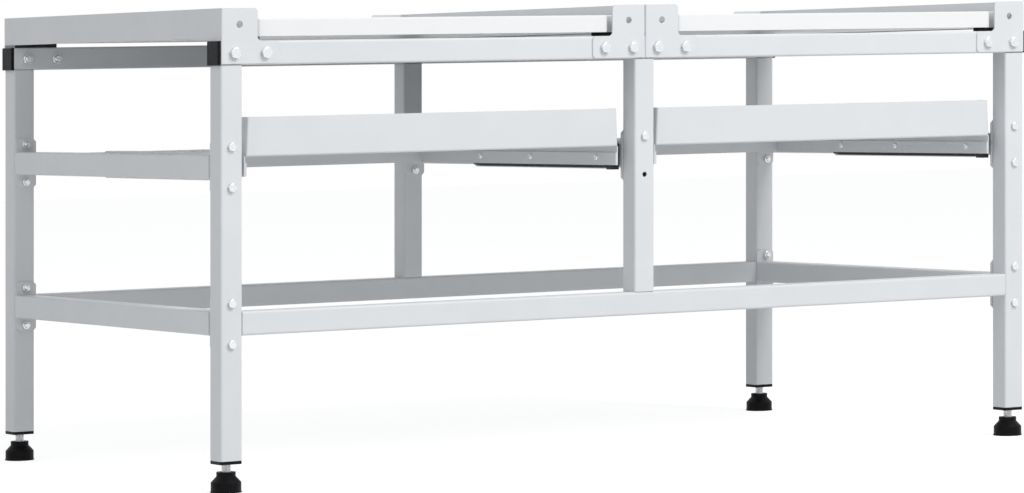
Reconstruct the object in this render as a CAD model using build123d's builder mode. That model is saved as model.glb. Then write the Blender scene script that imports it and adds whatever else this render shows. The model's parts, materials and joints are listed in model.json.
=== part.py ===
"""Stand for two household machines side by side, with a pull-out tray under each bay.

Millimetres. +X runs to the right along the front, +Y to the back, +Z up.
The origin is on the floor, under the middle of the stand.
"""
from build123d import *
import os

os.makedirs("parts", exist_ok=True)

# Levelling feet
foot_diameter = 39.0
foot_lip = 0.6              # how far the sole stands out round the base
foot_lip_height = 1.6
foot_base_height = 12.6
foot_cone_height = 7.4
foot_round = 1.2            # rounding of the base, the cone and the collar
collar_height = 5.3
collar_diameter = 24.0
stud_diameter = 12.0
stud_seat = 8.0             # lower end of the stud in the foot
stud_exposed = 9.7          # stud that shows between the foot and the plug
stud_past_plug = 17.0       # stud inside the leg, above the plug
stud_clearance = 0.08
plug_flange = 4.0
plug_insert = 18.0

# Frame of square tube
width = 1235.0              # across the outer faces of the legs
depth = 630.0               # front faces of the front legs to back faces of the rear legs
tube = 30.0
tube_wall = 2.0
tube_corner = 3.0           # outer corner radius of the tube
top_rail_bottom = 524.0
mid_rail_centre = 399.0
bottom_rail_centre = 207.0
insert_clearance = 0.2      # each side, between a plastic insert and the tube round it
cap_flange = 4.0            # end caps of the top rails
cap_edge = 1.0
cap_insert = 12.0

# End plates of the side rails, bolted through the legs and posts
plate_thickness = 3.0
plate_proud = 0.8           # how far a plate stands past its rail on the inner side
plate_inset = 2.0           # how far its edge lies inside the rail on the outer side
plate_bolt_gap = 10.0       # from the rail's face to the middle of the bolt
plate_edge = 8.0            # from the middle of the bolt to the plate's edge
plate_corner = 4.0

# M6 bolts of the side rails
frame_bolt = 6.0
frame_bolt_hole = 6.6
frame_head_flats = 10.0
frame_head_height = 4.0
frame_nut_height = 5.2

# M8 bolts of the side stops
stop_bolt = 8.0
stop_bolt_hole = 9.0
stop_head_flats = 13.0
stop_head_height = 5.3
stop_nut_height = 6.5
thread_clearance = 0.1      # round a bolt in its nut
bolt_past_nut = 2.0

# Side stops of bent sheet
stop_sheet = 2.0
stop_bend = 1.8             # outside radius of the bends
stop_height = 40.0          # above the top rails
stop_gap_over_rail = 3.5
stop_seam = 1.0             # between the two stops that meet over the centre post
flange_width = 80.0
flange_edge_gap = 1.5       # lower edge of the flange above the lower edge of the rail
flange_bolt_inset = 18.5    # bolt to the end of the flange, at both ends
tab_width = 50.0
tab_corner = 5.0
tab_hole = 8.5
tab_hole_below_top = 20.0

# Boards that lie in the bays
board_side_gap = 2.0        # between the board and the stops
board_thickness = 22.0
board_notch = 14.0          # depth of the notches round the tabs of the stops
board_corner = 6.0
board_edge = 1.5
board_setback = 4.0         # front edge of the board behind the front of the rail
pad_height = 5.0
pad_width = 40.0
pad_depth = 9.0
pad_setback = 1.0           # edge of a pad behind the notch
pad_end_inset = 11.0

# Telescopic slides
slide_length = 350.0
slide_height = 35.0
slide_thickness = 13.0
slide_front = 36.0          # front end of the slides behind the front of the legs
slide_sheet = 1.2
slide_running_gap = 0.3
outer_lip_short = 0.5       # how much shorter the outer lips are than the middle ones
slide_end_cut = 4.0         # cut corners at the back end of the outer member
bumper_length = 15.0        # end stop under the front of the middle member
bumper_drop = 1.0           # its underside below the outer member
bumper_gap = 0.5            # between it and the outer member with the tray closed

# Trays
tray_sheet = 1.5
tray_bend = 2.5             # outside radius of the bends
tray_back_bend = 1.2        # outside radius round the back rim
tray_front = 18.0           # front of the tray behind the front of the legs
tray_rear_gap = 107.0       # back of the tray to the back of the frame
tray_over_rail = 12.0       # underside of the floor above the middle of the side rails
tray_front_height = 49.0
tray_end_inset = 1.5        # ends of the upright front inside the outer faces of the rims
tray_front_taper = 2.0      # each end, over the height of the front
tray_return = 20.0
rim_height = 24.5
strip_height = 16.5
strip_thickness = 2.0
screw_diameter = 4.0
screw_clearance = 0.1
screw_head_diameter = 8.0
screw_head_height = 2.0
screw_above_rim = 10.0      # screw above the lower edge of the rim
screw_first = 31.0          # behind the front end of the slide
screw_second = 195.0
screw_last_inset = 25.0     # in front of the back end of the slide

# Places worked out from the sizes above
foot_height = foot_base_height + foot_cone_height + collar_height
leg_bottom = foot_height + stud_exposed + plug_flange
stud_top = leg_bottom + plug_insert + stud_past_plug
stud_bore = stud_diameter / 2 + stud_clearance
front_face = -depth / 2
back_face = depth / 2
leg_x = width / 2 - tube / 2
leg_y = depth / 2 - tube / 2
top_rail_centre = top_rail_bottom + tube / 2
top_rail_top = top_rail_bottom + tube
bottom_rail_top = bottom_rail_centre + tube / 2
bore = tube - 2 * tube_wall
inner_corner = max(tube_corner - tube_wall, 0.2)
insert_size = bore - 2 * insert_clearance
side_gap = width / 2 - tube                      # inner side of a leg from the middle
bolt_offset = tube / 2 + plate_bolt_gap
plate_height = 2 * (bolt_offset + plate_edge)
mid_bolt_heights = [mid_rail_centre - bolt_offset, mid_rail_centre + bolt_offset]
low_bolt_heights = [bottom_rail_centre - bolt_offset, bottom_rail_centre + bolt_offset]
frame_grip = tube + plate_thickness
stop_grip = tube + stop_sheet
stop_top = top_rail_top + stop_height

# The four side stops from left to right: their outer faces, and the way into the bay
stop_names = ("left_outer_stop", "left_inner_stop", "right_inner_stop", "right_outer_stop")
stop_faces = (-width / 2, -stop_seam / 2, stop_seam / 2, width / 2)
stop_inward = (1, -1, 1, -1)
flange_bolt_insets = (flange_bolt_inset, flange_width - flange_bolt_inset)
stop_bolt_x = [f + i * b for f, i in zip(stop_faces, stop_inward) for b in flange_bolt_insets]

# The four corners: name, side in X, side in Y
corners = (
    ("front_left", -1, -1),
    ("front_right", 1, -1),
    ("rear_left", -1, 1),
    ("rear_right", 1, 1),
)


def save(piece, label):
    """Label a finished piece and write it."""
    piece.part.label = label
    export_step(piece.part, f"parts/{label}.step")


def tube_section():
    """Square tube with rounded corners, in the current sketch."""
    RectangleRounded(tube, tube, tube_corner)
    RectangleRounded(bore, bore, inner_corner, mode=Mode.SUBTRACT)


def drill_y(places, diameter, start_y, length):
    """Round holes through the current part, to the back from start_y. Places are (x, z)."""
    with BuildSketch(Plane.XZ.offset(-start_y)) as holes:
        with Locations(*places):
            Circle(diameter / 2)
    extrude(holes.sketch, amount=-length, mode=Mode.SUBTRACT)


def drill_x(places, diameter, start_x, length):
    """Round holes through the current part, along X from start_x. Places are (y, z)."""
    with BuildSketch(Plane.YZ.offset(start_x)) as holes:
        with Locations(*places):
            Circle(diameter / 2)
    extrude(holes.sketch, amount=length, mode=Mode.SUBTRACT)


# Legs, with bolt holes for both side rails
for corner, side_x, side_y in corners:
    with BuildPart() as leg:
        with BuildSketch(Plane((side_x * leg_x, side_y * leg_y, leg_bottom))):
            tube_section()
        extrude(amount=top_rail_bottom - leg_bottom)
        leg_holes = [(side_x * leg_x, z) for z in low_bolt_heights + mid_bolt_heights]
        drill_y(leg_holes, frame_bolt_hole, side_y * leg_y - tube, 2 * tube)
    save(leg, f"{corner}_leg")

# Centre posts: they stand on the bottom rails and end under the top rails
for end, side_y in (("front", -1), ("rear", 1)):
    with BuildPart() as post:
        with BuildSketch(Plane((0, side_y * leg_y, bottom_rail_top))):
            tube_section()
        extrude(amount=top_rail_bottom - bottom_rail_top)
        drill_y([(0, z) for z in mid_bolt_heights], frame_bolt_hole, side_y * leg_y - tube, 2 * tube)
    save(post, f"{end}_center_post")

    # Top rail: it lies on the legs and the post, and is open at both ends
    with BuildPart() as top_rail:
        with BuildSketch(Plane.YZ.offset(-width / 2)):
            with Locations((side_y * leg_y, top_rail_centre)):
                tube_section()
        extrude(amount=width)
        rail_holes = [(x, top_rail_centre) for x in stop_bolt_x]
        drill_y(rail_holes, stop_bolt_hole, side_y * leg_y - tube, 2 * tube)
    save(top_rail, f"{end}_top_rail")

    # Bottom rail: between the legs, flush with their faces
    with BuildPart() as bottom_rail:
        with BuildSketch(Plane.YZ.offset(-side_gap)):
            with Locations((side_y * leg_y, bottom_rail_centre)):
                tube_section()
        extrude(amount=2 * side_gap)
    save(bottom_rail, f"{end}_bottom_rail")

# Side rails between the front and rear frames: name, place in X and Z, sides on which the plates stand proud
side_rails = (
    ("left_mid_rail", -leg_x, mid_rail_centre, (0, 1)),
    ("center_mid_rail", 0, mid_rail_centre, (1, 1)),
    ("right_mid_rail", leg_x, mid_rail_centre, (1, 0)),
    ("left_bottom_rail", -leg_x, bottom_rail_centre, (0, 1)),
    ("right_bottom_rail", leg_x, bottom_rail_centre, (1, 0)),
)
rail_front = front_face + frame_grip
rail_back = back_face - frame_grip
for rail_name, rail_x, rail_z, proud in side_rails:
    with BuildPart() as side_rail:
        with BuildSketch(Plane.XZ.offset(-rail_front)):
            with Locations((rail_x, rail_z)):
                tube_section()
        extrude(amount=-(rail_back - rail_front))
    save(side_rail, rail_name)

# Plates welded to the ends of the side rails, with the bolts above and below the rail
with BuildPart() as rail_end_plates:
    for rail_name, rail_x, rail_z, proud in side_rails:
        reach_left, reach_right = [tube / 2 + (plate_proud if side else -plate_inset) for side in proud]
        plate_width = reach_left + reach_right
        plate_x = rail_x + (reach_right - reach_left) / 2
        for plate_y, way in ((rail_front, 1), (rail_back, -1)):
            with BuildSketch(Plane.XZ.offset(-plate_y)):
                with Locations((plate_x, rail_z)):
                    outline = Rectangle(plate_width, plate_height)
                chamfer(outline.vertices(), plate_corner)
                with Locations(*[(rail_x, rail_z + o) for o in (-bolt_offset, bolt_offset)]):
                    Circle(frame_bolt_hole / 2, mode=Mode.SUBTRACT)
            extrude(amount=way * plate_thickness)
save(rail_end_plates, "rail_end_plates")

# End caps in the open ends of the top rails
with BuildPart() as rail_end_caps:
    for corner, side_x, side_y in corners:
        with BuildSketch(Plane.YZ.offset(side_x * width / 2)):
            with Locations((side_y * leg_y, top_rail_centre)):
                Rectangle(tube, tube)
        extrude(amount=side_x * cap_flange)
        with BuildSketch(Plane.YZ.offset(side_x * width / 2)):
            with Locations((side_y * leg_y, top_rail_centre)):
                RectangleRounded(insert_size, insert_size, inner_corner)
        extrude(amount=-side_x * cap_insert)
    for end_face in (rail_end_caps.faces().sort_by(Axis.X)[:2], rail_end_caps.faces().sort_by(Axis.X)[-2:]):
        chamfer(end_face.edges(), cap_edge)
save(rail_end_caps, "rail_end_caps")


def make_bolts(label, places, bolt, flats, head, shank):
    """Hex bolts with their heads on the outer faces. A place is (x, z, y of that face, way in)."""
    with BuildPart() as bolts:
        for x, z, face_y, way in places:
            with BuildSketch(Plane.XZ.offset(-face_y)):
                with Locations((x, z)):
                    RegularPolygon(flats / 2, 6, major_radius=False)
            extrude(amount=way * head)
            with BuildSketch(Plane.XZ.offset(-face_y)):
                with Locations((x, z)):
                    Circle(bolt / 2)
            extrude(amount=-way * shank)
    save(bolts, label)


def make_nuts(label, places, bolt, flats, height, grip):
    """Hex nuts on the inner faces, at the same places as the bolts."""
    with BuildPart() as nuts:
        for x, z, face_y, way in places:
            with BuildSketch(Plane.XZ.offset(-(face_y + way * grip))):
                with Locations((x, z)):
                    RegularPolygon(flats / 2, 6, major_radius=False)
                    Circle(bolt / 2 + thread_clearance, mode=Mode.SUBTRACT)
            extrude(amount=-way * height)
    save(nuts, label)


# Bolts of the side rails. The front post has its upper bolt only, and its lower hole is open
frame_places = []
for face_y, way in ((front_face, 1), (back_face, -1)):
    for side_x in (-1, 1):
        frame_places += [(side_x * leg_x, z, face_y, way) for z in low_bolt_heights + mid_bolt_heights]
frame_places += [(0, mid_bolt_heights[1], front_face, 1)]
frame_places += [(0, z, back_face, -1) for z in mid_bolt_heights]
frame_shank = frame_grip + frame_nut_height + bolt_past_nut
make_bolts("frame_bolts", frame_places, frame_bolt, frame_head_flats, frame_head_height, frame_shank)
make_nuts("frame_nuts", frame_places, frame_bolt, frame_head_flats, frame_nut_height, frame_grip)

# Bolts of the side stops, through the top rails
stop_places = []
for face_y, way in ((front_face - stop_sheet, 1), (back_face + stop_sheet, -1)):
    stop_places += [(x, top_rail_centre, face_y, way) for x in stop_bolt_x]
stop_shank = stop_grip + stop_nut_height + bolt_past_nut
make_bolts("stop_bolts", stop_places, stop_bolt, stop_head_flats, stop_head_height, stop_shank)
make_nuts("stop_nuts", stop_places, stop_bolt, stop_head_flats, stop_nut_height, stop_grip)

# Side stops: an upright along the side of the bay, bent in at both ends and bolted to the rails
stop_bottom = top_rail_top + stop_gap_over_rail
flange_bottom = top_rail_bottom + flange_edge_gap
for stop_name, face_x, inward in zip(stop_names, stop_faces, stop_inward):
    flange_x = face_x + inward * flange_width
    tab_x = face_x + inward * tab_width
    with BuildPart() as stop:
        with BuildSketch(Plane.YZ.offset(face_x)):
            with Locations((0, (stop_bottom + stop_top) / 2)):
                Rectangle(depth + 2 * stop_sheet, stop_top - stop_bottom)
        extrude(amount=inward * stop_sheet)
        for flange_y, way in ((front_face, 1), (back_face, -1)):
            with BuildSketch(Plane.XZ.offset(-flange_y)) as flange:
                with BuildLine():
                    Polyline(
                        (face_x, flange_bottom),
                        (flange_x, flange_bottom),
                        (flange_x, top_rail_top),
                        (tab_x, top_rail_top),
                        (tab_x, stop_top),
                        (face_x, stop_top),
                        close=True,
                    )
                make_face()
                fillet([v for v in flange.vertices() if abs(v.X - face_x) > stop_sheet], tab_corner)
                with Locations((face_x + inward * tab_width / 2, stop_top - tab_hole_below_top)):
                    Circle(tab_hole / 2, mode=Mode.SUBTRACT)
                with Locations(*[(face_x + inward * b, top_rail_centre) for b in flange_bolt_insets]):
                    Circle(stop_bolt_hole / 2, mode=Mode.SUBTRACT)
            extrude(amount=way * stop_sheet)
        outer_y = back_face + stop_sheet
        upright_edges = stop.edges().filter_by(Axis.Z).filter_by_position(Axis.X, face_x, face_x)
        fillet([e for e in upright_edges if abs(abs(e.center().Y) - outer_y) < stop_seam], stop_bend)
    save(stop, stop_name)

# Boards that fill the bays, notched round the tabs of the stops, on pads on the top rails
bay_middle = (width / 2 + stop_seam / 2) / 2
bay_width = width / 2 - stop_seam / 2
board_width = bay_width - 2 * stop_sheet - 2 * board_side_gap
board_depth = depth - 2 * board_setback
tongue_width = bay_width - 2 * tab_width - 2 * board_side_gap
board_bottom = top_rail_top + pad_height
for bay, side_x in (("left", -1), ("right", 1)):
    with BuildPart() as board:
        with BuildSketch(Plane.XY.offset(board_bottom)):
            with Locations((side_x * bay_middle, 0)):
                RectangleRounded(tongue_width, board_depth, board_corner)
                RectangleRounded(board_width, board_depth - 2 * board_notch, board_corner)
        extrude(amount=board_thickness)
        fillet(board.faces().sort_by(Axis.Z)[-1].edges(), board_edge)
    save(board, f"{bay}_board")

    with BuildPart() as pads:
        pad_x = board_width / 2 - pad_end_inset - pad_width / 2
        pad_y = board_depth / 2 - board_notch - pad_setback - pad_depth / 2
        with BuildSketch(Plane.XY.offset(top_rail_top)):
            with Locations((side_x * bay_middle, 0)):
                with GridLocations(2 * pad_x, 2 * pad_y, 2, 2):
                    Rectangle(pad_width, pad_depth)
        extrude(amount=pad_height)
    save(pads, f"{bay}_board_pads")

# Slide sections, measured from the side rail's face. Each member nests in the one outside it
outer_half = slide_height / 2
middle_half = outer_half - slide_sheet - slide_running_gap
inner_half = middle_half - slide_sheet - slide_running_gap
middle_lip = slide_thickness - slide_sheet - slide_running_gap
outer_lip = middle_lip - outer_lip_short
middle_web = max(plate_proud, slide_sheet) + slide_running_gap
inner_lip = middle_web + slide_sheet + slide_running_gap
slide_z = mid_rail_centre
slide_y = front_face + slide_front
slide_back = slide_y + slide_length
outer_front = slide_y + bumper_length + bumper_gap
bumper_low = slide_z - outer_half - bumper_drop
bumper_high = slide_z - middle_half


def channel(face_x, side, near, far, half_height, web_at_near):
    """Channel in the current XZ sketch. Near and far are distances from the rail's face, and the web is at one."""
    hollow_near = near + slide_sheet if web_at_near else near
    hollow_far = far if web_at_near else far - slide_sheet
    with Locations((face_x + side * (near + far) / 2, slide_z)):
        Rectangle(far - near, 2 * half_height)
    with Locations((face_x + side * (hollow_near + hollow_far) / 2, slide_z)):
        Rectangle(hollow_far - hollow_near, 2 * (half_height - slide_sheet), mode=Mode.SUBTRACT)


def fold(middle, span, low, high, radius, mode):
    """Upright form with round upper corners in the current XZ sketch, for sheet folded down at both sides."""
    with BuildSketch(mode=Mode.PRIVATE) as form:
        with Locations((middle, (low + high) / 2)):
            Rectangle(span, high - low)
        fillet(form.vertices().group_by(Axis.Y)[-1], radius)
    add(form.sketch, mode=mode)


# Trays: levels and lengths that the two share
tray_y = front_face + tray_front
tray_back = back_face - tray_rear_gap
tray_depth = tray_back - tray_y
tray_floor = mid_rail_centre + tray_over_rail
tray_top = tray_floor + tray_front_height
rim_bottom = tray_floor - rim_height
screw_hole = screw_diameter + 2 * screw_clearance
screw_y = (slide_y + screw_first, slide_y + screw_second, slide_back - screw_last_inset)
screw_points = [(y, rim_bottom + screw_above_rim) for y in screw_y]

for bay, left_face, right_face in (
    ("left", -side_gap, -tube / 2),
    ("right", tube / 2, side_gap),
):
    for hand, face_x, side in (("left", left_face, 1), ("right", right_face, -1)):
        # Outer member, fixed to the side rail behind the end stop, with its corners cut at the back
        with BuildPart() as outer_member:
            with BuildSketch(Plane.XZ.offset(-outer_front)):
                channel(face_x, side, 0, outer_lip, outer_half, True)
            extrude(amount=-(slide_back - outer_front))
            with BuildSketch(Plane.YZ.offset(face_x)):
                for up in (-1, 1):
                    with BuildLine():
                        Polyline(
                            (slide_back, slide_z + up * outer_half),
                            (slide_back - slide_end_cut, slide_z + up * outer_half),
                            (slide_back, slide_z + up * (outer_half - slide_end_cut)),
                            close=True,
                        )
                    make_face()
            extrude(amount=side * outer_lip, mode=Mode.SUBTRACT)
        save(outer_member, f"{bay}_tray_{hand}_slide_outer")

        # Middle member, with the end stop under its front end
        with BuildPart() as middle_member:
            with BuildSketch(Plane.XZ.offset(-slide_y)):
                channel(face_x, side, middle_web, middle_lip, middle_half, True)
            extrude(amount=-slide_length)
            with BuildSketch(Plane.XZ.offset(-slide_y)):
                with Locations((face_x + side * (middle_web + middle_lip) / 2, (bumper_low + bumper_high) / 2)):
                    Rectangle(middle_lip - middle_web, bumper_high - bumper_low)
            extrude(amount=-bumper_length)
        save(middle_member, f"{bay}_tray_{hand}_slide_middle")

        # Inner member, screwed to the tray's rim
        with BuildPart() as inner_member:
            with BuildSketch(Plane.XZ.offset(-slide_y)):
                channel(face_x, side, inner_lip, slide_thickness, inner_half, False)
            extrude(amount=-slide_length)
            drill_x(screw_points, screw_hole, face_x, side * 2 * slide_thickness)
        save(inner_member, f"{bay}_tray_{hand}_slide_inner")

    rim_left = left_face + slide_thickness
    rim_right = right_face - slide_thickness
    tray_x = (rim_left + rim_right) / 2
    tray_width = rim_right - rim_left
    low_half = tray_width / 2 - tray_end_inset
    high_half = low_half - tray_front_taper

    # Folded tray: floor and side rims, back rim, and an upright front with returns at its ends
    with BuildPart() as tray:
        with BuildSketch(Plane.XZ.offset(-(tray_y + tray_bend))):
            fold(tray_x, tray_width, rim_bottom, tray_floor + tray_sheet, tray_bend, Mode.ADD)
            hollow_width = tray_width - 2 * tray_sheet
            fold(tray_x, hollow_width, rim_bottom, tray_floor, tray_bend - tray_sheet, Mode.SUBTRACT)
        extrude(amount=-(tray_depth - tray_bend))
        with BuildSketch(Plane.XY.offset(rim_bottom)):
            with Locations((tray_x, tray_back - tray_sheet / 2)):
                Rectangle(tray_width - 2 * tray_bend, tray_sheet)
        extrude(amount=rim_height)
        back_edges = tray.edges().filter_by(Axis.X).filter_by_position(Axis.Y, tray_back, tray_back)
        fillet(back_edges.sort_by(Axis.Z)[-1], tray_back_bend)
        for wall, mode in ((0, Mode.ADD), (tray_sheet, Mode.SUBTRACT)):
            with BuildPart(mode=mode) as block:
                with BuildSketch(Plane.XZ.offset(-(tray_y + wall))):
                    with BuildLine():
                        Polyline(
                            (tray_x - low_half + wall, tray_floor + wall),
                            (tray_x + low_half - wall, tray_floor + wall),
                            (tray_x + high_half - wall, tray_top),
                            (tray_x - high_half + wall, tray_top),
                            close=True,
                        )
                    make_face()
                extrude(amount=-tray_return)
                front_edges = block.faces().sort_by(Axis.Y)[0].edges()
                fillet(front_edges.sort_by(Axis.Z)[:-1], tray_bend - wall)
        drill_x(screw_points, screw_hole, rim_left - tray_sheet, tray_width + 2 * tray_sheet)
    save(tray, f"{bay}_tray")

    # Backing strips inside the side rims, from the front of the tray to the back rim
    with BuildPart() as strips:
        strip_front = tray_y + tray_bend
        strip_back = tray_back - tray_sheet
        for rim_x, side in ((rim_left + tray_sheet, 1), (rim_right - tray_sheet, -1)):
            with BuildSketch(Plane.YZ.offset(rim_x)):
                with Locations(((strip_front + strip_back) / 2, rim_bottom + strip_height / 2)):
                    Rectangle(strip_back - strip_front, strip_height)
                with Locations(*screw_points):
                    Circle(screw_hole / 2, mode=Mode.SUBTRACT)
            extrude(amount=side * strip_thickness)
    save(strips, f"{bay}_tray_strips")

    # Screws through the strip and the rim into the inner slide member
    with BuildPart() as screws:
        head_inset = tray_sheet + strip_thickness
        for head_x, side in ((rim_left + head_inset, 1), (rim_right - head_inset, -1)):
            with BuildSketch(Plane.YZ.offset(head_x)):
                with Locations(*screw_points):
                    Circle(screw_head_diameter / 2)
            extrude(amount=side * screw_head_height)
            with BuildSketch(Plane.YZ.offset(head_x)):
                with Locations(*screw_points):
                    Circle(screw_diameter / 2)
            extrude(amount=-side * (head_inset + slide_sheet))
    save(screws, f"{bay}_tray_screws")

# Plugs in the lower ends of the legs, with the hole that the stud screws into
with BuildPart() as leg_plugs:
    with BuildSketch(Plane.XY.offset(leg_bottom - plug_flange)):
        with GridLocations(2 * leg_x, 2 * leg_y, 2, 2):
            RectangleRounded(tube, tube, tube_corner)
            Circle(stud_bore, mode=Mode.SUBTRACT)
    extrude(amount=plug_flange)
    with BuildSketch(Plane.XY.offset(leg_bottom)):
        with GridLocations(2 * leg_x, 2 * leg_y, 2, 2):
            RectangleRounded(insert_size, insert_size, inner_corner)
            Circle(stud_bore, mode=Mode.SUBTRACT)
    extrude(amount=plug_insert)
save(leg_plugs, "leg_plugs")

# Levelling feet: a turned foot on a threaded stud
for corner, side_x, side_y in corners:
    foot_axis = Axis((side_x * leg_x, side_y * leg_y, 0), (0, 0, 1))
    with BuildPart() as foot:
        foot_plane = Plane(foot_axis.position, x_dir=(1, 0, 0), z_dir=(0, -1, 0))
        with BuildSketch(foot_plane) as turning:
            with BuildLine():
                Polyline(
                    (0, 0),
                    (foot_diameter / 2, 0),
                    (foot_diameter / 2, foot_lip_height),
                    (foot_diameter / 2 - foot_lip, foot_lip_height),
                    (foot_diameter / 2 - foot_lip, foot_base_height),
                    (collar_diameter / 2, foot_base_height + foot_cone_height),
                    (collar_diameter / 2, foot_height),
                    (stud_bore, foot_height),
                    (stud_bore, stud_seat),
                    (0, stud_seat),
                    close=True,
                )
            make_face()
            rounded = [v for v in turning.vertices() if v.X > stud_diameter and v.Y > foot_lip_height]
            fillet(rounded, foot_round)
        revolve(axis=foot_axis)
    save(foot, f"{corner}_foot")

    with BuildPart() as stud:
        with BuildSketch(Plane((side_x * leg_x, side_y * leg_y, stud_seat))):
            Circle(stud_diameter / 2)
        extrude(amount=stud_top - stud_seat)
    save(stud, f"{corner}_stud")
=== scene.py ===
"""Looks of the stand for two household machines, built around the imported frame.

Metres. +X runs to the right along the front, +Y to the back, +Z up.
The origin is on the floor, under the middle of the stand.
"""
import json
import math

import bmesh
import bpy
from mathutils import Matrix, Vector


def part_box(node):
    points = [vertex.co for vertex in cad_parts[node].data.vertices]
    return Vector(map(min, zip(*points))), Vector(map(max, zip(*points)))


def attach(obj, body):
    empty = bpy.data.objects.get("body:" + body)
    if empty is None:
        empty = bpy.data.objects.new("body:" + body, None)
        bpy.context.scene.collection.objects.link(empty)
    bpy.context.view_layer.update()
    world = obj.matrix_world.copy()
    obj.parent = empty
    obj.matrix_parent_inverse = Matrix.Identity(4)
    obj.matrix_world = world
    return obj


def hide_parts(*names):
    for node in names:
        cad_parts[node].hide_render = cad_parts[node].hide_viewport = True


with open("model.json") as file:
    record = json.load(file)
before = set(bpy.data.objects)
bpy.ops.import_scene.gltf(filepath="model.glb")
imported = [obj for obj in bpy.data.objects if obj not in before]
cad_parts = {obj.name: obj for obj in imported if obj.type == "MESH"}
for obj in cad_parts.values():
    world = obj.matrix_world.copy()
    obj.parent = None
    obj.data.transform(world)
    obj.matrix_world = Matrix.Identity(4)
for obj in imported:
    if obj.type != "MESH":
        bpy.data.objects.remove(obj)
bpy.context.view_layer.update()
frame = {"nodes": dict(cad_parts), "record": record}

record = frame["record"]
scene = bpy.context.scene
mm = 0.001

# Camera, as fitted to the photograph
image_width = 1024              # pixels
sensor_width = 36.0             # millimetres
camera_place = (-3.0726, -5.0463, 0.5079)
camera_yaw = 0.54549            # radians, from +Y towards +X
camera_tilt = 0.03979           # downward slope of the view
camera_skew = -0.01794          # rise of level lines across the image
camera_focus = 4353.8           # pixels

# Light
sky_colour = (0.965, 0.985, 1.0)
sky_strength = 0.46
seen_sky = (1.0, 1.0, 1.0)
seen_sky_strength = 1.0
lamp_aim = (0.0, 0.0, 0.3)
lamp_size = 2.2
key_place = (0.9, -3.6, 3.6)
key_power = 132.0               # watts
left_place = (-3.4, -1.6, 3.2)
left_power = 16.0               # watts
floor_half = 12.0               # half of the floor's side
floor_seen = 0.86               # grey of the floor where it is seen
floor_bounce = 0.80             # grey of the floor that throws light at the stand
floor_glow = 0.55               # share of plain white in the floor that is seen
floor_white = 1.46              # strength of that white

# Surfaces
noise_low = 0.3                 # most of a noise lies between these two
noise_high = 0.7
edge_samples = 4                # rays that round an edge

# Bolts, nuts and studs
smooth_angle = 32.0             # degrees
round_steps = 32                # points of a ring
weld_gap = 0.001 * mm           # points of a CAD mesh nearer than this are one point
frame_bolt = 6.0 * mm
frame_flats = 10.0 * mm
frame_head = 4.0 * mm
frame_pitch = 1.0 * mm
stop_bolt = 8.0 * mm
stop_flats = 13.0 * mm
stop_head = 5.3 * mm
stop_pitch = 1.25 * mm
stud_pitch = 1.75 * mm
thread_depth = 0.61             # of the pitch
thread_rings = 6                # rings in one turn of a thread
thread_length = 4.0 * mm        # threaded end of a bolt
hex_crown = 0.93                # top of a hex head's crown, of its flats
crown_inner = 0.9               # first ring on a hex head, of its crown
crown_slope = 1.7               # growth of a crown's radius along the bolt
crown_steps = 3
washer_face = 0.5 * mm          # height of the round seat under a hex head
washer_width = 0.92             # of the flats
nut_play = 0.1 * mm             # gap between a bolt and its nut

# Pan heads of the tray screws
screw_head = 2.0 * mm           # height
screw_shank = 2.0 * mm          # radius
centre_ring = 0.02              # smallest ring of the recess, of the head's radius
cross_reach = 0.55              # length of the recess's arms, of the head's radius
cross_width = 0.17              # half width of the arms, of the head's radius
cross_depth = 0.6               # of the head's height
cross_core = 1.45               # round middle of the recess, of the arms' half width
cross_rings = (0.3, 0.55, 0.8, 1.0)     # shares of the way from the middle to the ends of the arms
cross_rise = 1.15               # an arm is as deep as this less that share, of the recess's depth
dome_rings = ((0.0, 0.66), (0.12, 0.84), (0.32, 0.95), (0.55, 1.0), (1.0, 1.0))    # of height, of radius

# Pads under the boards, longer than the CAD pads
pad_reach = 60.0 * mm           # inner end of a pad, from the end of the board
rear_pad_inset = 2.0 * mm       # outer end of a rear pad, from the end of the board
pad_edge = 0.6 * mm             # rounding of a pad's edges
pad_edge_steps = 2


# Node helpers


def new_material(name):
    """A material with its shader, and object coordinates that move with the piece."""
    material = bpy.data.materials.new(name)
    material.use_nodes = True
    tree = material.node_tree
    shader = tree.nodes["Principled BSDF"]
    place = tree.nodes.new("ShaderNodeTexCoord").outputs["Object"]
    return material, tree, shader, place


def stretched(tree, place, scale):
    """Coordinates scaled along each axis."""
    mapping = tree.nodes.new("ShaderNodeMapping")
    mapping.inputs["Scale"].default_value = scale
    tree.links.new(place, mapping.inputs["Vector"])
    return mapping.outputs["Vector"]


def noise(tree, place, scale, detail):
    """Smooth noise."""
    texture = tree.nodes.new("ShaderNodeTexNoise")
    texture.inputs["Scale"].default_value = scale
    texture.inputs["Detail"].default_value = detail
    tree.links.new(place, texture.inputs["Vector"])
    return texture.outputs["Fac"]


def cells(tree, place, scale):
    """Distance to the nearest cell point, for grains and crystals."""
    texture = tree.nodes.new("ShaderNodeTexVoronoi")
    texture.inputs["Scale"].default_value = scale
    tree.links.new(place, texture.inputs["Vector"])
    return texture.outputs["Distance"]


def colours(tree, value, low, high):
    """Colour from low to high as a noise value goes through its range."""
    ramp = tree.nodes.new("ShaderNodeValToRGB")
    first, last = ramp.color_ramp.elements
    first.position = noise_low
    last.position = noise_high
    first.color = (*low, 1.0)
    last.color = (*high, 1.0)
    tree.links.new(value, ramp.inputs["Fac"])
    return ramp.outputs["Color"]


def spread(tree, value, low, high):
    """Number from low to high as a noise value goes through its range."""
    reach = tree.nodes.new("ShaderNodeMapRange")
    reach.inputs["From Min"].default_value = noise_low
    reach.inputs["From Max"].default_value = noise_high
    reach.inputs["To Min"].default_value = low
    reach.inputs["To Max"].default_value = high
    tree.links.new(value, reach.inputs["Value"])
    return reach.outputs["Result"]


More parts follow.
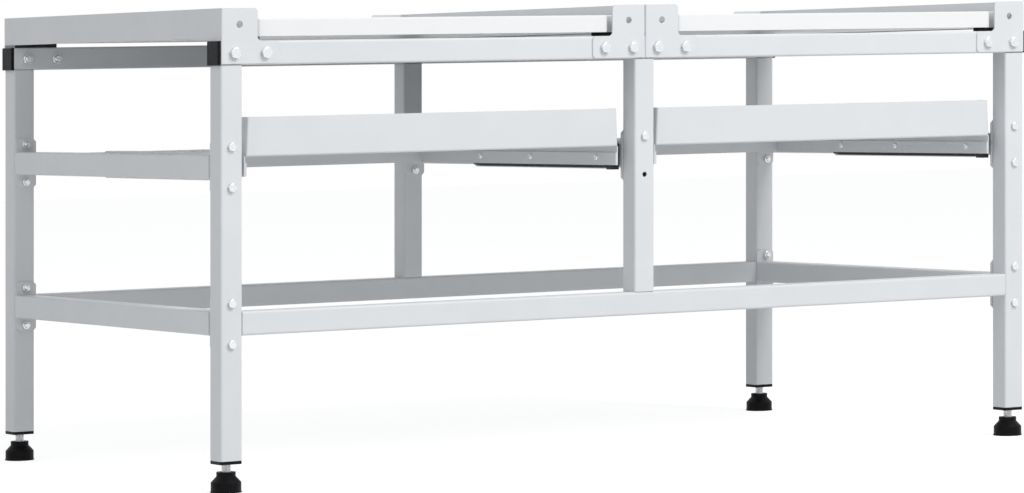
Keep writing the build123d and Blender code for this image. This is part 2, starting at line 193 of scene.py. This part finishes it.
def soft_edges(tree, radius):
    """Normal that rounds the sharp edges of a piece."""
    edge = tree.nodes.new("ShaderNodeBevel")
    edge.samples = edge_samples
    edge.inputs["Radius"].default_value = radius
    return edge.outputs["Normal"]


def bumps(tree, height, distance, normal):
    """Normal pushed by a height, on top of another normal."""
    bump = tree.nodes.new("ShaderNodeBump")
    bump.inputs["Distance"].default_value = distance
    tree.links.new(height, bump.inputs["Height"])
    tree.links.new(normal, bump.inputs["Normal"])
    return bump.outputs["Normal"]


def wire(tree, shader, colour, roughness, normal):
    """Link a colour, a roughness and a normal to the shader."""
    tree.links.new(colour, shader.inputs["Base Color"])
    tree.links.new(roughness, shader.inputs["Roughness"])
    tree.links.new(normal, shader.inputs["Normal"])


# Materials, one for each slot of the record


def powder_coat(name, deep, pale, edge):
    """Satin powder coat: faint clouds in the colour, a fine orange peel and a finer grit."""
    material, tree, shader, place = new_material(name)
    colour = colours(tree, noise(tree, place, scale=14.0, detail=4.0), deep, pale)
    roughness = spread(tree, noise(tree, place, scale=55.0, detail=3.0), low=0.36, high=0.48)
    peel = noise(tree, place, scale=480.0, detail=1.0)
    grit = noise(tree, place, scale=2100.0, detail=0.0)
    peeled = bumps(tree, peel, distance=0.03 * mm, normal=soft_edges(tree, edge))
    wire(tree, shader, colour, roughness, bumps(tree, grit, distance=0.004 * mm, normal=peeled))
    shader.inputs["Specular IOR Level"].default_value = 0.4
    return material


def melamine(name, deep, pale, edge):
    """White faced board: smooth, with a very fine pearl in the face."""
    material, tree, shader, place = new_material(name)
    colour = colours(tree, noise(tree, place, scale=22.0, detail=5.0), deep, pale)
    roughness = spread(tree, noise(tree, place, scale=160.0, detail=2.0), low=0.30, high=0.36)
    pearl = noise(tree, place, scale=900.0, detail=1.0)
    wire(tree, shader, colour, roughness, bumps(tree, pearl, 0.002 * mm, soft_edges(tree, edge)))
    return material


def moulded_plastic(name, deep, pale, edge, shine):
    """Black moulded plastic with a spark-eroded grain."""
    material, tree, shader, place = new_material(name)
    colour = colours(tree, noise(tree, place, scale=90.0, detail=4.0), deep, pale)
    roughness = spread(tree, noise(tree, place, scale=240.0, detail=3.0), low=0.36, high=0.52)
    grain = cells(tree, place, scale=1700.0)
    wire(tree, shader, colour, roughness, bumps(tree, grain, 0.05 * mm, soft_edges(tree, edge)))
    shader.inputs["Specular IOR Level"].default_value = shine
    return material


def rubber(name, deep, pale, edge):
    """Matt black rubber with pores, in an uneven black."""
    material, tree, shader, place = new_material(name)
    colour = colours(tree, noise(tree, place, scale=300.0, detail=6.0), deep, pale)
    roughness = spread(tree, noise(tree, place, scale=500.0, detail=2.0), low=0.7, high=0.9)
    pores = noise(tree, place, scale=1500.0, detail=2.0)
    wire(tree, shader, colour, roughness, bumps(tree, pores, 0.1 * mm, soft_edges(tree, edge)))
    return material


def zinc_plate(name, deep, pale, edge):
    """Bright zinc plate on fasteners: small crystals and uneven shine."""
    material, tree, shader, place = new_material(name)
    colour = colours(tree, cells(tree, place, scale=900.0), deep, pale)
    roughness = spread(tree, noise(tree, place, scale=900.0, detail=3.0), low=0.20, high=0.34)
    crystals = noise(tree, place, scale=1600.0, detail=2.0)
    wire(tree, shader, colour, roughness, bumps(tree, crystals, 0.006 * mm, soft_edges(tree, edge)))
    shader.inputs["Metallic"].default_value = 0.85
    return material


def drawn_steel(name, deep, pale, edge, metal, smooth, rough):
    """Cold-formed slide steel: lines along the draw, which runs along Y."""
    material, tree, shader, place = new_material(name)
    lines = noise(tree, stretched(tree, place, (1500.0, 9.0, 1500.0)), scale=1.0, detail=3.0)
    colour = colours(tree, lines, deep, pale)
    roughness = spread(tree, noise(tree, place, scale=120.0, detail=3.0), smooth, rough)
    wire(tree, shader, colour, roughness, bumps(tree, lines, 0.015 * mm, soft_edges(tree, edge)))
    shader.inputs["Metallic"].default_value = metal
    return material


materials = {
    "frame_paint": powder_coat(
        "frame_paint", deep=(0.735, 0.755, 0.775), pale=(0.765, 0.780, 0.795), edge=0.9 * mm
    ),
    "tray_paint": powder_coat(
        "tray_paint", deep=(0.725, 0.745, 0.765), pale=(0.755, 0.770, 0.785), edge=0.7 * mm
    ),
    "white_board": melamine(
        "white_board", deep=(0.864, 0.868, 0.872), pale=(0.878, 0.881, 0.884), edge=1.0 * mm
    ),
    "pad_rubber": rubber(
        "pad_rubber", deep=(0.010, 0.010, 0.011), pale=(0.022, 0.022, 0.023), edge=0.8 * mm
    ),
    "foot_plastic": moulded_plastic(
        "foot_plastic", deep=(0.003, 0.003, 0.004), pale=(0.006, 0.006, 0.007), edge=0.8 * mm, shine=0.09
    ),
    "black_plastic": moulded_plastic(
        "black_plastic", deep=(0.006, 0.007, 0.009), pale=(0.010, 0.011, 0.014), edge=0.7 * mm, shine=0.10
    ),
    "zinc_steel": zinc_plate(
        "zinc_steel", deep=(0.74, 0.75, 0.77), pale=(0.86, 0.87, 0.88), edge=0.3 * mm
    ),
    "slide_zinc": drawn_steel(
        "slide_zinc", deep=(0.52, 0.53, 0.55), pale=(0.66, 0.67, 0.69), edge=0.4 * mm,
        metal=0.75, smooth=0.32, rough=0.46
    ),
    "slide_black": drawn_steel(
        "slide_black", deep=(0.012, 0.012, 0.014), pale=(0.028, 0.028, 0.031), edge=0.4 * mm,
        metal=0.2, smooth=0.38, rough=0.52
    ),
}

for subpart in record["subparts"]:
    data = frame["nodes"][subpart["node"]].data
    data.materials.clear()
    data.materials.append(materials[subpart["material_slot"]])


# Turned and six-sided forms


def solid_boxes(node):
    """Lowest and highest corner of each separate solid in a CAD node, in the order of its mesh."""
    shape = bmesh.new()
    shape.from_mesh(frame["nodes"][node].data)
    bmesh.ops.remove_doubles(shape, verts=shape.verts, dist=weld_gap)
    waiting = set(shape.verts)
    boxes = []
    for first in shape.verts:
        if first not in waiting:
            continue
        waiting.remove(first)
        stack = [first]
        solid = [first]
        while stack:
            for edge in stack.pop().link_edges:
                for corner in edge.verts:
                    if corner in waiting:
                        waiting.remove(corner)
                        stack.append(corner)
                        solid.append(corner)
        low = Vector([min(v.co[i] for v in solid) for i in range(3)])
        high = Vector([max(v.co[i] for v in solid) for i in range(3)])
        boxes.append((low, high))
    shape.free()
    return boxes


def plain(radius):
    """Round ring."""
    return lambda angle: radius


def six_sided(flats, limit):
    """Ring of a hex head, cut back to a round limit where its crown is."""
    return lambda angle: min(flats / 2 / math.cos(angle % (math.pi / 3) - math.pi / 6), limit)


def threaded(radius, pitch, along):
    """Ring of a screw thread at a distance along the screw."""
    depth = thread_depth * pitch
    return lambda angle: radius - depth * (0.5 - 0.5 * math.cos(2 * math.pi * along / pitch - angle))


def thread_run(radius, pitch, start, end):
    """Rings of a thread from start to end."""
    count = max(2, round((end - start) / pitch * thread_rings))
    steps = [start + (end - start) * i / count for i in range(count + 1)]
    return [(step, threaded(radius, pitch, step)) for step in steps]


def crossed(depth, radius, width):
    """Depth by angle of a ring at a radius: sunk inside the arms of a cross, and 0 elsewhere."""
    def reach(angle):
        in_arms = radius * abs(math.sin(2 * angle) / 2) < width * abs(math.cos(2 * angle))
        return depth if in_arms else 0.0
    return reach


def add_turned(shape, base, axis, rings, hollow=False):
    """Skin over rings along an axis.

    A ring is a distance along the axis, plain or by angle, and a radius by angle.
    A hollow form joins its last ring to its first.
    """
    along = Vector(axis)
    across = along.orthogonal().normalized()
    aside = along.cross(across)
    angles = [2 * math.pi * step / round_steps for step in range(round_steps)]
    loops = []
    for distance, radius in rings:
        reach = distance if callable(distance) else plain(distance)
        loop = []
        for angle in angles:
            outward = across * math.cos(angle) + aside * math.sin(angle)
            loop.append(shape.verts.new(base + along * reach(angle) + outward * radius(angle)))
        loops.append(loop)
    pairs = list(zip(loops, loops[1:]))
    if hollow:
        pairs.append((loops[-1], loops[0]))
    for near, far in pairs:
        for step in range(round_steps):
            after = (step + 1) % round_steps
            shape.faces.new((near[step], near[after], far[after], far[step]))
    if not hollow:
        shape.faces.new(loops[0][::-1])
        shape.faces.new(loops[-1])


def add_piece(name, shape, body, slot, *nodes):
    """Turn a bmesh into a piece on a body, in place of CAD nodes."""
    bmesh.ops.recalc_face_normals(shape, faces=shape.faces)
    data = bpy.data.meshes.new(name)
    shape.to_mesh(data)
    shape.free()
    data.shade_smooth()
    data.set_sharp_from_angle(angle=math.radians(smooth_angle))
    data.materials.append(materials[slot])
    piece = bpy.data.objects.new(name, data)
    scene.collection.objects.link(piece)
    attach(piece, body)
    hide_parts(*nodes)


# Bolts and nuts along Y


def hex_rings(flats, end, crowned_end):
    """Rings of a hex head or nut, with a crown at its start, and at its end if that one shows."""
    crown = flats / 2 * hex_crown
    corner = flats / 2 / math.cos(math.pi / 6)
    drop = (corner - crown) / crown_slope
    parts = [step / crown_steps * drop for step in range(crown_steps + 1)]
    rings = [(part, six_sided(flats, crown + part * crown_slope)) for part in parts]
    if crowned_end:
        rings += [(end - part, six_sided(flats, crown + part * crown_slope)) for part in reversed(parts)]
    else:
        rings.append((end, six_sided(flats, corner)))
    return rings


def outer_end(low, high):
    """Middle of a fastener's outer face, and the axis from there to the inside of the stand."""
    inward = 1 if low.y + high.y < 0 else -1
    face = low.y if inward > 0 else high.y
    return Vector(((low.x + high.x) / 2, face, (low.z + high.z) / 2)), (0, inward, 0)


def add_bolts(node, bolt, flats, head, pitch):
    """Hex bolts with crowned heads on the outside and threads at their ends."""
    shank = plain(bolt / 2)
    seat = plain(flats / 2 * washer_width)
    shape = bmesh.new()
    for low, high in solid_boxes(node):
        base, axis = outer_end(low, high)
        length = high.y - low.y
        thread_start = length - thread_length
        rings = [(0.0, plain(flats / 2 * hex_crown * crown_inner))]
        rings += hex_rings(flats, head - washer_face, crowned_end=False)
        rings += [(head - washer_face, seat), (head, seat)]
        rings += [(head, shank), (thread_start - pitch, shank)]
        rings += thread_run(bolt / 2, pitch, thread_start, length - pitch / 2)
        rings += [(length, plain(bolt / 2 - thread_depth * pitch))]
        add_turned(shape, base, axis, rings)
    add_piece(f"{node}_threaded", shape, "frame", "zinc_steel", node)


def add_nuts(node, bolt, flats, pitch):
    """Hex nuts with a crown at each end, and a chamfer at each end of the hole."""
    chamfer = pitch / 2
    hole = plain(bolt / 2 + nut_play)
    mouth = plain(bolt / 2 + nut_play + chamfer)
    shape = bmesh.new()
    for low, high in solid_boxes(node):
        base, axis = outer_end(low, high)
        height = high.y - low.y
        rings = [(chamfer, hole), (0.0, mouth)]
        rings += hex_rings(flats, height, crowned_end=True)
        rings += [(height, mouth), (height - chamfer, hole)]
        add_turned(shape, base, axis, rings, hollow=True)
    add_piece(f"{node}_crowned", shape, "frame", "zinc_steel", node)


add_bolts("frame_bolts", frame_bolt, frame_flats, frame_head, frame_pitch)
add_nuts("frame_nuts", frame_bolt, frame_flats, frame_pitch)
add_bolts("stop_bolts", stop_bolt, stop_flats, stop_head, stop_pitch)
add_nuts("stop_nuts", stop_bolt, stop_flats, stop_pitch)


# Screws of the trays, with pan heads and a cross recess


def add_screws(bay):
    """Pan heads that face into the tray, in place of the plain heads."""
    tray_low, tray_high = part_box(f"{bay}_tray")
    shank = plain(screw_shank)
    floor = cross_depth * screw_head
    shape = bmesh.new()
    for low, high in solid_boxes(f"{bay}_tray_screws"):
        at_left = low.x + high.x < tray_low.x + tray_high.x
        face = high.x if at_left else low.x
        axis = (-1, 0, 0) if at_left else (1, 0, 0)
        base = Vector((face, (low.y + high.y) / 2, (low.z + high.z) / 2))
        radius = (high.z - low.z) / 2
        width = cross_width * radius
        core = cross_core * width
        rings = [(floor, plain(centre_ring * radius)), (floor, plain(core))]
        for part in cross_rings:
            ring = core + (cross_reach * radius - core) * part
            rings.append((crossed(floor * (cross_rise - part), ring, width), plain(ring)))
        rings += [(height * screw_head, plain(share * radius)) for height, share in dome_rings]
        rings += [(screw_head, shank), (high.x - low.x, shank)]
        add_turned(shape, base, axis, rings)
    add_piece(f"{bay}_tray_screws_crossed", shape, f"{bay}_tray", "zinc_steel", f"{bay}_tray_screws")


for bay in ("left", "right"):
    add_screws(bay)


# Pads under the boards


def add_pads(bay):
    """Pads with rounded edges, longer than the CAD pads that they stand for."""
    board_low, board_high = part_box(f"{bay}_board")
    shape = bmesh.new()
    for low, high in solid_boxes(f"{bay}_board_pads"):
        at_rear = low.y > 0
        if low.x + high.x < board_low.x + board_high.x:
            low.x = board_low.x + rear_pad_inset if at_rear else low.x
            high.x = board_low.x + pad_reach
        else:
            low.x = board_high.x - pad_reach
            high.x = board_high.x - rear_pad_inset if at_rear else high.x
        box = Matrix.LocRotScale((low + high) / 2, None, high - low)
        bmesh.ops.create_cube(shape, size=1.0, matrix=box)
    bmesh.ops.bevel(
        shape, geom=shape.edges[:], offset=pad_edge, segments=pad_edge_steps, profile=0.5, affect="EDGES"
    )
    add_piece(f"{bay}_board_pads_rounded", shape, "frame", "pad_rubber", f"{bay}_board_pads")


for bay in ("left", "right"):
    add_pads(bay)


# Studs of the levelling feet, threaded from end to end


def add_stud(corner):
    """Threaded stud with tapered ends, in place of a plain CAD stud."""
    low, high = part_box(f"{corner}_stud")
    radius = (high.x - low.x) / 2
    length = high.z - low.z
    root = plain(radius - thread_depth * stud_pitch)
    rings = [(0.0, root)]
    rings += thread_run(radius, stud_pitch, stud_pitch / 2, length - stud_pitch / 2)
    rings += [(length, root)]
    base = Vector(((low.x + high.x) / 2, (low.y + high.y) / 2, low.z))
    shape = bmesh.new()
    add_turned(shape, base, (0, 0, 1), rings)
    add_piece(f"{corner}_stud_threaded", shape, f"{corner}_foot", "zinc_steel", f"{corner}_stud")


for corner in ("front_left", "front_right", "rear_left", "rear_right"):
    add_stud(corner)


# Floor, light and camera


def direct_look(tree):
    """1 for rays from the camera, reflections and clear parts, 0 for the light that falls on things."""
    path = tree.nodes.new("ShaderNodeLightPath")
    total = path.outputs["Is Camera Ray"]
    for other in ("Is Glossy Ray", "Is Transmission Ray"):
        both = tree.nodes.new("ShaderNodeMath")
        both.operation = "MAXIMUM"
        tree.links.new(total, both.inputs[0])
        tree.links.new(path.outputs[other], both.inputs[1])
        total = both.outputs["Value"]
    return total


def mixed(tree, first, second):
    """Mix of two shaders, with its factor still to be set."""
    mix = tree.nodes.new("ShaderNodeMixShader")
    tree.links.new(first, mix.inputs[1])
    tree.links.new(second, mix.inputs[2])
    return mix


def show(tree, lighting, seen, kind):
    """Link one shader to the output for the light that it gives, and another for direct looks."""
    either = mixed(tree, lighting, seen)
    tree.links.new(direct_look(tree), either.inputs["Fac"])
    output = tree.nodes.new(kind)
    tree.links.new(either.outputs["Shader"], output.inputs["Surface"])


def paper(tree, grey):
    """Matt grey shader."""
    matt = tree.nodes.new("ShaderNodeBsdfDiffuse")
    matt.inputs["Color"].default_value = (grey, grey, grey, 1)
    return matt.outputs["BSDF"]


def sky(tree, colour, strength):
    """Even light from all round."""
    light = tree.nodes.new("ShaderNodeBackground")
    light.inputs["Color"].default_value = (*colour, 1)
    light.inputs["Strength"].default_value = strength
    return light.outputs["Background"]


def add_floor():
    """White where it is seen, with the stand's soft shadow on it, and grey to the light on the stand."""
    data = bpy.data.meshes.new("floor")
    corners = [(-floor_half, -floor_half, 0), (floor_half, -floor_half, 0)]
    corners += [(floor_half, floor_half, 0), (-floor_half, floor_half, 0)]
    data.from_pydata(corners, [], [(0, 1, 2, 3)])
    floor = bpy.data.objects.new("floor", data)
    scene.collection.objects.link(floor)
    material = bpy.data.materials.new("floor")
    material.use_nodes = True
    tree = material.node_tree
    tree.nodes.clear()
    glow = tree.nodes.new("ShaderNodeEmission")
    glow.inputs["Strength"].default_value = floor_white
    seen = mixed(tree, paper(tree, floor_seen), glow.outputs["Emission"])
    seen.inputs["Fac"].default_value = floor_glow
    show(tree, paper(tree, floor_bounce), seen.outputs["Shader"], "ShaderNodeOutputMaterial")
    data.materials.append(material)


def add_sky():
    """Even light from all round, white where it is seen."""
    world = bpy.data.worlds.new("studio")
    scene.world = world
    world.use_nodes = True
    tree = world.node_tree
    tree.nodes.clear()
    lighting = sky(tree, sky_colour, sky_strength)
    show(tree, lighting, sky(tree, seen_sky, seen_sky_strength), "ShaderNodeOutputWorld")


def add_lamp(name, place, power):
    """Large soft lamp aimed at the stand."""
    data = bpy.data.lights.new(name, "AREA")
    data.size = lamp_size
    data.energy = power
    lamp = bpy.data.objects.new(name, data)
    lamp.location = place
    lamp.rotation_euler = (Vector(lamp_aim) - Vector(place)).to_track_quat("-Z", "Y").to_euler()
    scene.collection.objects.link(lamp)


def add_camera():
    """Camera that keeps uprights upright, on a stand that carries the photograph's slight skew."""
    up = Vector((0, 0, 1))
    ahead = Vector((math.sin(camera_yaw), math.cos(camera_yaw), 0)) - camera_tilt * up
    level = Vector((math.cos(camera_yaw), -math.sin(camera_yaw), 0)) + camera_skew * up
    data = bpy.data.cameras.new("camera")
    data.sensor_width = sensor_width
    data.lens = camera_focus / image_width * sensor_width
    camera = bpy.data.objects.new("camera", data)
    stand = bpy.data.objects.new("camera_stand", None)
    turn = Matrix((level, up, -ahead)).transposed().to_4x4()
    camera.parent = stand
    camera.matrix_parent_inverse = Matrix.Translation(camera_place) @ turn
    for part in (stand, camera):
        scene.collection.objects.link(part)
    scene.camera = camera


add_floor()
add_sky()
add_lamp("key", key_place, key_power)
add_lamp("left_fill", left_place, left_power)
add_camera()
scene.view_settings.view_transform = "Standard"
